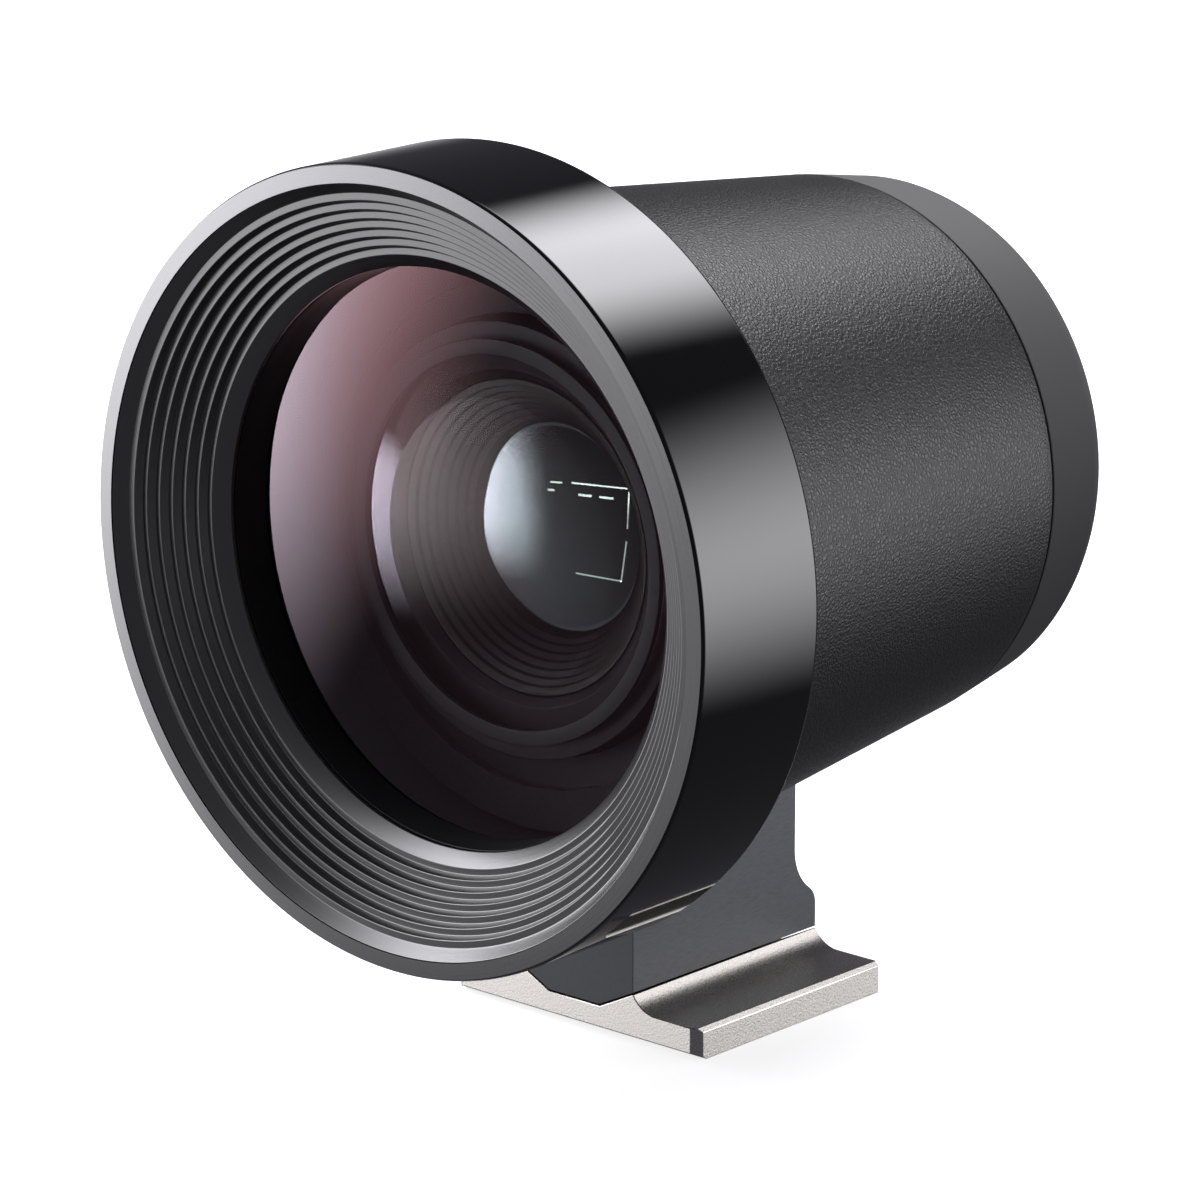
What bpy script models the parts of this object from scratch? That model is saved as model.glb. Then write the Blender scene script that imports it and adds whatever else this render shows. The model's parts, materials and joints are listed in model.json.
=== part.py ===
"""Shoe-mount optical finder: a tapering turned barrel on a pedestal and a camera shoe foot.

Frame: X to the right, Y from the front rim towards the eyepiece, Z up.  The origin is the
centre of the foot's flat underside.  Constants are in millimetres and degrees.  A station is a
distance behind the front rim, along the optical axis.
"""

from math import cos, pi, radians, sin, sqrt

import bmesh
import bpy
from mathutils import Matrix, Vector

MM = 0.001
GAP = 0.1                    # clearance between neighbouring pieces
OUTER_STEPS = 64             # facets round the large turned pieces
INNER_STEPS = 32             # facets round the small turned pieces
SCREW_STEPS = 12
LENS_POINTS = 5              # intervals along a spherical lens face

# Accessory-shoe foot
FOOT_WIDTH = 18.5
FOOT_THICKNESS = 1.9
FOOT_FRONT = 15.0            # station of the foot's front face
FOOT_LENGTH = 16.0
FOOT_EDGE_BEVEL = 0.25
FOOT_CORNER_CHAMFER = 0.5
CORNER_TOOL = 8.0            # side of the square cutter, turned 45 degrees
FOOT_RAMP_HEIGHT = 0.4
FOOT_RAMP_LENGTH = 0.85
FILLET_RADIUS = 2.0          # concave sweep from the plate up to the pedestal
FILLET_ANGLE = 60.0
FILLET_FOOT_X = 6.2          # where the sweep leaves the plate
GROOVE_HALF_FLAT = 1.95
GROOVE_FLOOR = 1.64

# Pedestal
AXIS_HEIGHT = 29.5           # optical axis above the foot's underside
PEDESTAL_REAR = 29.1         # station of its upright rear face
COVE_TOP = 8.1
COVE_RADIUS = 3.25
COVE_ANGLE = 54.0
NOSE_RADIUS = 1.32
COVE_POINTS = 6
NOSE_POINTS = 4
FILLET_POINTS = 5

# Hood
HOOD_RADIUS = 22.45
HOOD_LENGTH = 9.5
HOOD_BORE = 21.37
FACE_OUTER = 22.33
FACE_CHAMFER = 0.32
HOOD_REAR_ROUND = 0.4
LIP_FRONT = 8.3
LIP_BORE = 19.1

# Stepped light baffle
STEPS = 7
FIRST_STEP_STATION = 0.8
FIRST_STEP_INNER = 20.32
FIRST_STEP_OUTER = 20.75
STEP_DEPTH = 0.46
STEP_RISE = 0.56
RISER_SLOPE = 0.17
BAFFLE_THROAT = 16.2
BAFFLE_REAR = 4.6

# Barrel, sleeve and rear cap
SLEEVE_FRONT = 9.62
SLEEVE_FRONT_RADIUS = 19.21
SLEEVE_REAR = 37.4
SLEEVE_REAR_RADIUS = 16.27
SLEEVE_WALL = 0.5
BARREL_BORE = 15.0
LENS_BORE = 17.0
CAP_FRONT = 37.52
CAP_FRONT_RADIUS = 16.25
CAP_SHOULDER = 41.0
CAP_SHOULDER_RADIUS = 15.68
CAP_REAR = 46.25
CAP_REAR_FLAT = 8.91
CAP_ROUND_POINTS = 8
EYE_APERTURE = 6.9

# Barrel flange, behind the front retainer
RETAINER_REAR = 6.8
RETAINER_NOSE = 0.25         # how far the retainer reaches into the barrel over the lens
FLANGE_REAR = 8.2
FLANGE_NECK = 19.0           # radius that fits inside the hood's rear lip
NECK_REAR = 9.4
LENS_SEAT = 11.6             # station of the shoulder that the front lens group rests on
CELL_SEAT = 13.6             # station of the shoulder that the inner cell rests on
CELL_SEAT_BORE = 12.5

# Front lens: (apex station, radius of curvature, rim radius) of each face
FRONT_FACE = (3.6, 38.0, 16.9)
FRONT_LENS_REAR_FACE = (5.5, 20.0, 13.6)

# Inner cell and what it holds
CELL_FRONT = 9.95
CELL_REAR = 33.0
CELL_RADIUS = 10.4
CELL_BORE = 9.0
CELL_CUP_BORE = 11.1
CELL_CUP_RADIUS = 12.3
CELL_CUP_FLOOR = 10.5
CELL_CHAMFER = 0.5
CELL_FLANGE = (13.7, 15.2)   # front and rear station
SECOND_LENS_FACE = (7.51, 26.0, 11.0)
SECOND_LENS_REAR = 10.4
STOP_FRONT = 11.0
STOP_REAR = 14.9
RIDGES = 7
RIDGE_PITCH = 0.4
RIDGE_STEP = 0.385
RIDGE_CREST = 0.16           # how far a ridge leans back over its width
RIDGE_WIDTH = 0.32
STOP_THROAT = [(13.9, 6.05), (14.1, 5.9)]
THIRD_LENS_FACE = (10.7, 6.4, 5.7)
THIRD_LENS_RIM = 7.0
THIRD_LENS_SHOULDER = 14.25
THIRD_LENS_REAR = 14.8
RETICLE = (16.0, 17.0)       # front and rear station
MIRROR_FACE = (30.0, -45.0)  # apex station and radius of curvature
MIRROR_REAR = 31.5

# Eyepiece
EYEPIECE_FRONT_FACE = (40.6, 28.0, 8.4)
EYEPIECE_EDGE_REAR = 44.2
EYEPIECE_REAR_FACE = (44.9, -32.4, 6.7)
EYE_RING_FRONT = 45.3
EYE_RING_REAR = 46.5
EYE_RING_INNER = 7.5
EYE_RING_OUTER = 8.65
EYE_RING_ROUND = 0.3
EYE_RING_SEAT = (45.2, 8.75)  # station of the groove's floor and the groove's outer radius
EYE_COLLAR = (46.1, 7.4)      # rear station and outer radius of the lip inside the eye ring
CAP_WALL = [(44.4, 10.4), (43.0, 12.4), (40.5, 13.9), (33.6, 13.9)]

# Plain rings: (front station, rear station, inner radius, outer radius, material)
RINGS = {
    "second_lens_retainer": (9.3, 9.62, 10.55, 11.4, "matte_black"),
    "third_lens_retainer": (15.0, 15.9, 5.6, CELL_BORE - GAP, "matte_black"),
    "spacer_tube": (17.1, 28.9, 8.0, CELL_BORE - GAP, "matte_black"),
    "rear_retainer": (31.6, 32.9, 7.4, CELL_BORE - GAP, "matte_black"),
    "eyepiece_cell": (38.6, 44.3, 8.5, 9.9, "matte_black"),
    "eyepiece_retainer": (39.6, 41.4, 7.3, 8.4, "matte_black"),
}
SEAL_REAR = 11.5
SEAL_INNER = 14.3
SEAL_OUTER = 16.7

# Screws: (head radius, head height, shank radius, length)
FOOT_SCREW = (1.5, 0.8, 0.75, 5.0)
FOOT_SCREW_X = 2.2
FOOT_SCREW_Y = 4.6
FOOT_SCREW_SUNK = 0.12
PEDESTAL_SCREW = (1.6, 1.1, 0.9, 9.0)
PEDESTAL_SCREW_STATIONS = (18.8, 25.6)
PEDESTAL_SCREW_SUNK = 1.4    # head top below the barrel's bore
CAP_SCREW = (0.95, 0.35, 0.5, 1.6)
CAP_SCREW_STATION = 35.4
CAP_SCREW_ANGLES = (90.0, 210.0, 330.0)
CAP_SCREW_SUNK = 0.12

# Reach of a cutter past what it cuts
CLEAR = 3.0

MATERIALS = {
    # name: (colour, roughness, metallic)
    "gloss_black": ((0.012, 0.012, 0.014), 0.06, 0.0),
    "satin_grey": ((0.33, 0.33, 0.34), 0.38, 1.0),
    "matte_black": ((0.015, 0.015, 0.016), 0.6, 0.0),
    "leather_grain": ((0.035, 0.035, 0.037), 0.62, 0.0),
    "cap_grey": ((0.05, 0.05, 0.05), 0.5, 0.0),
    "anodised_dark": ((0.06, 0.062, 0.066), 0.42, 0.6),
    "nickel": ((0.74, 0.73, 0.71), 0.34, 1.0),
    "steel": ((0.5, 0.5, 0.5), 0.3, 1.0),
    "rubber": ((0.02, 0.02, 0.02), 0.8, 0.0),
    "coated_glass": ((0.55, 0.42, 0.48), 0.02, 0.0),
    "clear_glass": ((0.75, 0.85, 0.84), 0.02, 0.0),
    "mirror_glass": ((0.8, 0.8, 0.76), 0.05, 0.6),
}


def clear_scene():
    for item in list(bpy.data.objects):
        bpy.data.objects.remove(item, do_unlink=True)


def new_collection(name):
    group = bpy.data.collections.new(name)
    bpy.context.scene.collection.children.link(group)
    return group


clear_scene()
PARTS = new_collection("optical_finder")
CUTTERS = new_collection("cutters")


def finish_named(name):
    """The Principled material of that name, made on first use."""
    if name in bpy.data.materials:
        return bpy.data.materials[name]
    colour, roughness, metallic = MATERIALS[name]
    material = bpy.data.materials.new(name)
    material.use_nodes = True
    shader = material.node_tree.nodes["Principled BSDF"]
    shader.inputs["Base Color"].default_value = (*colour, 1.0)
    shader.inputs["Roughness"].default_value = roughness
    shader.inputs["Metallic"].default_value = metallic
    return material


def place(name, mesh, finish):
    """An object in the parts collection, or a hidden cutter where finish is None."""
    item = bpy.data.objects.new(name, mesh)
    if finish is None:
        CUTTERS.objects.link(item)
        item.hide_render = True
        item.display_type = "WIRE"
    else:
        PARTS.objects.link(item)
        mesh.materials.append(finish_named(finish))
    return item


def world_y(station):
    return (station - FOOT_FRONT - FOOT_LENGTH / 2) * MM


# ---------------------------------------------------------------- turned bodies

def arc(centre_station, centre_radius, radius, start, end, count):
    """Points (station, radius) round an arc; 0 degrees points rearward, 90 outward."""
    angles = [radians(start + (end - start) * i / count) for i in range(count + 1)]
    return [(centre_station + radius * cos(a), centre_radius + radius * sin(a)) for a in angles]


def lens_face(apex, curve, rim, count=LENS_POINTS):
    """A spherical face from the axis to its rim; a positive curve falls back rearward."""
    heights = [rim * i / count for i in range(count + 1)]
    sign = 1 if curve > 0 else -1
    return [(apex + curve - sign * sqrt(curve * curve - h * h), h) for h in heights]


def signed_area(outline):
    following = outline[1:] + outline[:1]
    return sum(a[0] * b[1] - b[0] * a[1] for a, b in zip(outline, following)) / 2


def lathe(name, outline, finish, steps):
    """A body of revolution about its own Z from a (height, radius) outline.

    An outline that starts and ends at radius 0 makes a solid body, any other makes a ring.
    """
    if signed_area(outline) < 0:
        outline = outline[::-1]
    solid = outline[0][1] == 0
    corners = [(r * MM, 0.0, s * MM) for s, r in outline]
    edges = [(i, i + 1) for i in range(len(corners) - 1)]
    if not solid:
        edges.append((len(corners) - 1, 0))
    mesh = bpy.data.meshes.new(name)
    mesh.from_pydata(corners, edges, [])
    item = place(name, mesh, finish)
    turn = item.modifiers.new("turn", "SCREW")
    turn.axis = "Z"
    turn.angle = 2 * pi
    turn.steps = steps
    turn.render_steps = steps
    turn.use_merge_vertices = True
    turn.merge_threshold = 1e-6
    return item


def turned(name, outline, finish, steps=OUTER_STEPS):
    """A body of revolution about the optical axis from a (station, radius) outline."""
    item = lathe(name, outline, finish, steps)
    item.location = (0.0, world_y(0), AXIS_HEIGHT * MM)
    item.rotation_euler = (-pi / 2, 0.0, 0.0)
    return item


def ring(name, front, rear, inner, outer, finish, steps=INNER_STEPS):
    outline = [(front, inner), (front, outer), (rear, outer), (rear, inner)]
    return turned(name, outline, finish, steps)


# ------------------------------------------------------------- flat-sided bodies

def slab(name, outline, depth, finish, turn_z=0.0):
    """An upright outline (across, height) extruded both ways by half of depth.

    With turn_z 0 the outline faces the front and the depth runs along Y.  With turn_z 90
    the outline is seen from the right and the depth runs along X.
    """
    curve = bpy.data.curves.new(name, "CURVE")
    curve.dimensions = "2D"
    curve.fill_mode = "BOTH"
    curve.extrude = depth * MM / 2
    line = curve.splines.new("POLY")
    line.points.add(len(outline) - 1)
    for point, (across, height) in zip(line.points, outline):
        point.co = (across * MM, height * MM, 0.0, 1.0)
    line.use_cyclic_u = True
    guide = bpy.data.objects.new(name + "_outline", curve)
    CUTTERS.objects.link(guide)
    upright = Matrix.Rotation(pi / 2, 4, "X")
    guide.matrix_world = Matrix.Rotation(radians(turn_z), 4, "Z") @ upright
    graph = bpy.context.evaluated_depsgraph_get()
    mesh = bpy.data.meshes.new_from_object(guide.evaluated_get(graph))
    mesh.name = name
    shape = bmesh.new()
    shape.from_mesh(mesh)
    bmesh.ops.remove_doubles(shape, verts=shape.verts, dist=1e-7)
    bmesh.ops.recalc_face_normals(shape, faces=shape.faces)
    shape.to_mesh(mesh)
    shape.free()
    matrix = guide.matrix_world.copy()
    bpy.data.objects.remove(guide, do_unlink=True)
    item = place(name, mesh, finish)
    item.matrix_world = matrix
    return item


def box(name, size, centre, finish, rotation=(0.0, 0.0, 0.0)):
    mesh = bpy.data.meshes.new(name)
    shape = bmesh.new()
    bmesh.ops.create_cube(shape, size=1.0)
    bmesh.ops.scale(shape, vec=Vector(size) * MM, verts=shape.verts)
    shape.to_mesh(mesh)
    shape.free()
    item = place(name, mesh, finish)
    item.location = Vector(centre) * MM
    item.rotation_euler = [radians(a) for a in rotation]
    return item


def cut(target, cutter):
    step = target.modifiers.new(cutter.name, "BOOLEAN")
    step.operation = "DIFFERENCE"
    step.solver = "EXACT"
    step.object = cutter


# -------------------------------------------------------------------- fasteners

def screw_outline(sizes, countersunk, grown=0.0):
    """From the centre of the head's top at height 0 down to the tip, grown for a hole."""
    head_radius, head_height, shank_radius, length = sizes
    head, shank, seat = head_radius + grown, shank_radius + grown, head_height + grown
    under_head = [(seat, shank)] if countersunk else [(seat, head), (seat, shank)]
    above = [(-CLEAR, 0.0), (-CLEAR, head)] if grown else [(0.0, 0.0)]
    return [*above, (0.0, head), *under_head, (length + grown, shank), (length + grown, 0.0)]


def screw(name, head_centre, pointing, sizes, countersunk=True, slot=0.0):
    """A screw whose head's top is at head_centre; returns the cutter for its hole."""
    turn = Vector((0, 0, 1)).rotation_difference(Vector(pointing)).to_euler()
    body = lathe(name, screw_outline(sizes, countersunk), "steel", SCREW_STEPS)
    hole = lathe(name + "_hole", screw_outline(sizes, countersunk, GAP), None, SCREW_STEPS)
    for item in (body, hole):
        item.location = Vector(head_centre) * MM
        item.rotation_euler = turn
    if slot:
        reach = 2 * sizes[0] + 1
        tool = box(name + "_slot", (reach, slot, 2 * slot), head_centre, None)
        tool.rotation_euler = turn
        cut(body, tool)
    return hole


# ------------------------------------------------------------------------- hood

def build_hood():
    rounding = arc(HOOD_LENGTH - HOOD_REAR_ROUND, HOOD_RADIUS - HOOD_REAR_ROUND,
                   HOOD_REAR_ROUND, 90, 0, 3)
    turned("hood_ring", [
        (0.0, HOOD_BORE), (0.0, FACE_OUTER), (FACE_CHAMFER, HOOD_RADIUS), *rounding,
        (HOOD_LENGTH, LIP_BORE), (LIP_FRONT, LIP_BORE), (LIP_FRONT, HOOD_BORE),
    ], "gloss_black")


def baffle_steps():
    """The seven treads and risers, from the rim inwards."""
    points = [(GAP / 2, HOOD_BORE - GAP)]
    outer = FIRST_STEP_OUTER
    for index in range(STEPS):
        station = FIRST_STEP_STATION + STEP_DEPTH * index
        inner = FIRST_STEP_INNER - STEP_RISE * index
        points += [(station, outer), (station, inner)]
        outer = inner - RISER_SLOPE
    return points


def build_baffle():
    steps = baffle_steps()
    last_station, last_radius = steps[-1]
    cone_end = last_station + last_radius - BAFFLE_THROAT
    turned("baffle_ring", [
        *steps, (cone_end, BAFFLE_THROAT), (BAFFLE_REAR, BAFFLE_THROAT),
        (BAFFLE_REAR, HOOD_BORE - GAP),
    ], "satin_grey")
    turned("front_retainer", [
        (BAFFLE_REAR + GAP, BAFFLE_THROAT), (BAFFLE_REAR + GAP, HOOD_BORE - GAP),
        (RETAINER_REAR, HOOD_BORE - GAP), (RETAINER_REAR, LENS_BORE - GAP),
        (RETAINER_REAR + RETAINER_NOSE, LENS_BORE - GAP),
        (RETAINER_REAR + RETAINER_NOSE, BAFFLE_THROAT - GAP),
    ], "matte_black")


# ----------------------------------------------------------- barrel and covering

def sleeve_radius(station):
    """Outer radius of the tapering sleeve."""
    share = (station - SLEEVE_FRONT) / (SLEEVE_REAR - SLEEVE_FRONT)
    return SLEEVE_FRONT_RADIUS + share * (SLEEVE_REAR_RADIUS - SLEEVE_FRONT_RADIUS)


def build_barrel():
    under = SLEEVE_WALL + GAP
    barrel = turned("main_barrel", [
        (RETAINER_REAR + GAP, LENS_BORE), (RETAINER_REAR + GAP, HOOD_BORE - GAP),
        (FLANGE_REAR, HOOD_BORE - GAP), (FLANGE_REAR, FLANGE_NECK), (NECK_REAR, FLANGE_NECK),
        (NECK_REAR, SLEEVE_FRONT_RADIUS - under), (SLEEVE_REAR, SLEEVE_REAR_RADIUS - under),
        (SLEEVE_REAR, BARREL_BORE), (CELL_SEAT, BARREL_BORE), (CELL_SEAT, CELL_SEAT_BORE),
        (LENS_SEAT, CELL_SEAT_BORE), (LENS_SEAT, LENS_BORE),
    ], "matte_black")
    sleeve = turned("grip_sleeve", [
        (SLEEVE_FRONT, SLEEVE_FRONT_RADIUS - SLEEVE_WALL), (SLEEVE_FRONT, SLEEVE_FRONT_RADIUS),
        (SLEEVE_REAR, SLEEVE_REAR_RADIUS), (SLEEVE_REAR, SLEEVE_REAR_RADIUS - SLEEVE_WALL),
    ], "leather_grain")
    return barrel, sleeve


def build_cap():
    depth = CAP_REAR - CAP_SHOULDER
    fall = CAP_SHOULDER_RADIUS - CAP_REAR_FLAT
    angles = [pi / 2 * i / CAP_ROUND_POINTS for i in range(CAP_ROUND_POINTS + 1)]
    shoulder = [(CAP_SHOULDER + depth * sin(a), CAP_REAR_FLAT + fall * cos(a)) for a in angles]
    groove_floor, groove_radius = EYE_RING_SEAT
    collar_rear, collar_radius = EYE_COLLAR
    return turned("rear_cap", [
        (CAP_FRONT, BARREL_BORE - GAP), (CAP_FRONT, CAP_FRONT_RADIUS), *shoulder,
        (CAP_REAR, groove_radius), (groove_floor, groove_radius), (groove_floor, collar_radius),
        (collar_rear, collar_radius), (collar_rear, EYE_APERTURE), (CAP_WALL[0][0], EYE_APERTURE),
        *CAP_WALL, (CAP_WALL[-1][0], BARREL_BORE - GAP),
    ], "cap_grey")


# ----------------------------------------------------------------------- optics

def build_front_group():
    rear = lens_face(*FRONT_LENS_REAR_FACE)
    rim_station = rear[-1][0]
    turned("front_lens", [
        *lens_face(*FRONT_FACE), (rim_station, FRONT_FACE[2]), *rear[::-1],
    ], "coated_glass")
    ring("front_lens_seal", rim_station + GAP, SEAL_REAR, SEAL_INNER, SEAL_OUTER, "rubber")


def build_inner_cell():
    flange_front, flange_rear = CELL_FLANGE
    turned("inner_cell", [
        (CELL_FRONT, CELL_CUP_BORE), (CELL_FRONT, CELL_CUP_RADIUS),
        (flange_front, CELL_CUP_RADIUS), (flange_front, BARREL_BORE - GAP),
        (flange_rear, BARREL_BORE - GAP), (flange_rear, CELL_RADIUS), (CELL_REAR, CELL_RADIUS),
        (CELL_REAR, CELL_BORE), (CELL_CUP_FLOOR + CELL_CHAMFER, CELL_BORE),
        (CELL_CUP_FLOOR, CELL_BORE + CELL_CHAMFER), (CELL_CUP_FLOOR, CELL_CUP_BORE),
    ], "matte_black", INNER_STEPS)
    turned("second_lens", [
        *lens_face(*SECOND_LENS_FACE), (SECOND_LENS_REAR, SECOND_LENS_FACE[2]),
        (SECOND_LENS_REAR, 0.0),
    ], "coated_glass", INNER_STEPS)


def build_ridged_stop():
    """The ring of low ridges round the innermost visible element."""
    outer = CELL_BORE - GAP
    ridges = []
    for index in range(RIDGES):
        station = STOP_FRONT + RIDGE_PITCH * index
        radius = outer - GAP - RIDGE_STEP * index
        ridges += [(station, radius), (station + RIDGE_CREST, radius - RIDGE_WIDTH)]
    seat = STOP_THROAT[-1][0]
    turned("ridged_stop", [
        (STOP_FRONT, outer), *ridges, *STOP_THROAT, (seat, THIRD_LENS_RIM + GAP),
        (STOP_REAR, THIRD_LENS_RIM + GAP), (STOP_REAR, outer),
    ], "matte_black", INNER_STEPS)


def build_inner_optics():
    outer = CELL_BORE - GAP
    turned("third_lens", [
        *lens_face(*THIRD_LENS_FACE), (THIRD_LENS_SHOULDER, THIRD_LENS_RIM),
        (THIRD_LENS_REAR, THIRD_LENS_RIM), (THIRD_LENS_REAR, 0.0),
    ], "mirror_glass", INNER_STEPS)
    front, rear = RETICLE
    turned("frame_reticle", [(front, 0.0), (front, outer), (rear, outer), (rear, 0.0)],
           "clear_glass", INNER_STEPS)
    turned("semi_mirror_lens", [
        *lens_face(*MIRROR_FACE, outer), (MIRROR_REAR, outer), (MIRROR_REAR, 0.0),
    ], "mirror_glass", INNER_STEPS)


def build_eyepiece():
    rear = lens_face(*EYEPIECE_REAR_FACE)
    edge = EYEPIECE_FRONT_FACE[2]
    turned("eyepiece_lens", [
        *lens_face(*EYEPIECE_FRONT_FACE), (EYEPIECE_EDGE_REAR, edge), *rear[::-1],
    ], "clear_glass", INNER_STEPS)
    centre = EYE_RING_REAR - EYE_RING_ROUND
    turned("eye_ring", [
        (EYE_RING_FRONT, EYE_RING_INNER), (EYE_RING_FRONT, EYE_RING_OUTER),
        *arc(centre, EYE_RING_OUTER - EYE_RING_ROUND, EYE_RING_ROUND, 90, 0, 3),
        *arc(centre, EYE_RING_INNER + EYE_RING_ROUND, EYE_RING_ROUND, 0, -90, 3),
    ], "rubber", INNER_STEPS)


# ------------------------------------------------------------- pedestal and foot

def foot_outline():
    """Front view of the foot, from the bottom left corner round to the left side."""
    half = FOOT_WIDTH / 2
    right = [(half, 0.0), (half, FOOT_THICKNESS - FOOT_EDGE_BEVEL),
             (half - FOOT_EDGE_BEVEL, FOOT_THICKNESS)]
    for index in range(FILLET_POINTS + 1):
        angle = radians(FILLET_ANGLE * index / FILLET_POINTS)
        right.append((FILLET_FOOT_X - FILLET_RADIUS * sin(angle),
                      FOOT_THICKNESS + FILLET_RADIUS * (1 - cos(angle))))
    right.append((GROOVE_HALF_FLAT, GROOVE_FLOOR))
    return right + [(-x, z) for x, z in reversed(right)]


def pedestal_half_width():
    return FILLET_FOOT_X - FILLET_RADIUS * sin(radians(FILLET_ANGLE))


def foot_peak_height():
    return FOOT_THICKNESS + FILLET_RADIUS * (1 - cos(radians(FILLET_ANGLE)))


def pedestal_outline():
    """Front view of the pedestal, whose tongue lies in the foot's groove."""
    half = pedestal_half_width()
    top = AXIS_HEIGHT - SLEEVE_REAR_RADIUS
    right = [(GROOVE_HALF_FLAT - GAP / 2, GROOVE_FLOOR + GAP), (half, foot_peak_height() + GAP),
             (half, top)]
    return right + [(-x, z) for x, z in reversed(right)]


def rear_clearance_outline():
    """What is cut away behind the pedestal: an upright, a cove and a rounded nose."""
    rear = FOOT_LENGTH / 2 + CLEAR
    upright = world_y(PEDESTAL_REAR) / MM
    turn = radians(COVE_ANGLE)
    cove = []
    for index in range(COVE_POINTS + 1):
        angle = turn * index / COVE_POINTS
        cove.append((upright + COVE_RADIUS * (1 - cos(angle)),
                     COVE_TOP - COVE_RADIUS * sin(angle)))
    nose_y, nose_z = cove[-1]
    nose = []
    for index in range(1, NOSE_POINTS + 1):
        angle = turn * (1 - index / NOSE_POINTS)
        nose.append((nose_y + NOSE_RADIUS * (cos(angle) - cos(turn)),
                     nose_z - NOSE_RADIUS * (sin(turn) - sin(angle))))
    return [(upright, AXIS_HEIGHT), *cove, *nose, (nose[-1][0], -CLEAR), (rear, -CLEAR),
            (rear, AXIS_HEIGHT)]


def build_foot():
    foot = slab("shoe_foot", foot_outline(), FOOT_LENGTH, "nickel")
    half_width = FOOT_WIDTH / 2
    front = -FOOT_LENGTH / 2
    inset = CORNER_TOOL / sqrt(2) - FOOT_CORNER_CHAMFER / 2
    for name, side in (("left", -1), ("right", 1)):
        corner = box("foot_corner_%s" % name, (CORNER_TOOL, CORNER_TOOL, 4 * FOOT_THICKNESS),
                     (side * (half_width + inset), front - inset, 0.0), None, (0, 0, 45))
        cut(foot, corner)
    slope = FOOT_RAMP_HEIGHT / FOOT_RAMP_LENGTH
    ramp = slab("foot_ramp", [
        (front - CLEAR, -CLEAR), (front + FOOT_RAMP_LENGTH + CLEAR / slope, -CLEAR),
        (front - CLEAR, FOOT_RAMP_HEIGHT + CLEAR * slope),
    ], FOOT_WIDTH + CLEAR, None, 90)
    cut(foot, ramp)
    return foot


def barrel_clearance():
    """The bare tapering barrel grown by the gap: it hollows the pedestal's saddle."""
    front, rear = FOOT_FRONT - CLEAR, PEDESTAL_REAR + CLEAR
    return turned("barrel_clearance", [
        (front, 0.0), (front, sleeve_radius(front) - SLEEVE_WALL),
        (rear, sleeve_radius(rear) - SLEEVE_WALL), (rear, 0.0),
    ], None)


def build_pedestal(sleeve):
    pedestal = slab("pedestal", pedestal_outline(), FOOT_LENGTH, "anodised_dark")
    cut(pedestal, slab("pedestal_rear", rear_clearance_outline(), 2 * FOOT_WIDTH, None, 90))
    cut(pedestal, barrel_clearance())
    front, rear = world_y(FOOT_FRONT) / MM, world_y(PEDESTAL_REAR) / MM
    width = 2 * (pedestal_half_width() + GAP)
    window = box("sleeve_window", (width, rear - front + 2 * GAP, SLEEVE_FRONT_RADIUS),
                 (0.0, (front + rear) / 2, AXIS_HEIGHT - SLEEVE_FRONT_RADIUS), None)
    cut(sleeve, window)
    return pedestal


# ------------------------------------------------------------------------ screws

def build_screws(foot, pedestal, barrel, cap):
    spots = [(x, y) for x in (-FOOT_SCREW_X, FOOT_SCREW_X) for y in (-FOOT_SCREW_Y, FOOT_SCREW_Y)]
    for index, (x, y) in enumerate(spots, 1):
        hole = screw("foot_screw_%d" % index, (x, y, FOOT_SCREW_SUNK), (0, 0, 1), FOOT_SCREW,
                     slot=0.35)
        cut(foot, hole)
        cut(pedestal, hole)
    head_top = AXIS_HEIGHT - BARREL_BORE + PEDESTAL_SCREW_SUNK
    for index, station in enumerate(PEDESTAL_SCREW_STATIONS, 1):
        hole = screw("pedestal_screw_%d" % index, (0.0, world_y(station) / MM, head_top),
                     (0, 0, -1), PEDESTAL_SCREW, countersunk=False, slot=0.4)
        cut(barrel, hole)
        cut(pedestal, hole)
    head_radius = sleeve_radius(CAP_SCREW_STATION) - SLEEVE_WALL - GAP - CAP_SCREW_SUNK
    middle = Vector((0.0, world_y(CAP_SCREW_STATION) / MM, AXIS_HEIGHT))
    for index, angle in enumerate(CAP_SCREW_ANGLES, 1):
        out = Vector((cos(radians(angle)), 0.0, sin(radians(angle))))
        hole = screw("cap_screw_%d" % index, middle + out * head_radius, -out, CAP_SCREW)
        cut(barrel, hole)
        cut(cap, hole)


def build():
    build_hood()
    build_baffle()
    barrel, sleeve = build_barrel()
    cap = build_cap()
    build_front_group()
    build_inner_cell()
    build_ridged_stop()
    build_inner_optics()
    build_eyepiece()
    for name, sizes in RINGS.items():
        ring(name, *sizes)
    foot = build_foot()
    pedestal = build_pedestal(sleeve)
    build_screws(foot, pedestal, barrel, cap)


build()
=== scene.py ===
"""The looks of the shoe-mount optical finder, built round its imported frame.

X points right, Y from the front rim towards the eyepiece, Z up.  Lengths are in millimetres
until a mesh is made; MM turns them into metres.  A station is a distance behind the front rim
along the optical axis.
"""

import json
from math import cos, hypot, pi, radians, sin, sqrt

import bmesh
import bpy
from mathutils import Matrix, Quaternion, Vector


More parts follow.
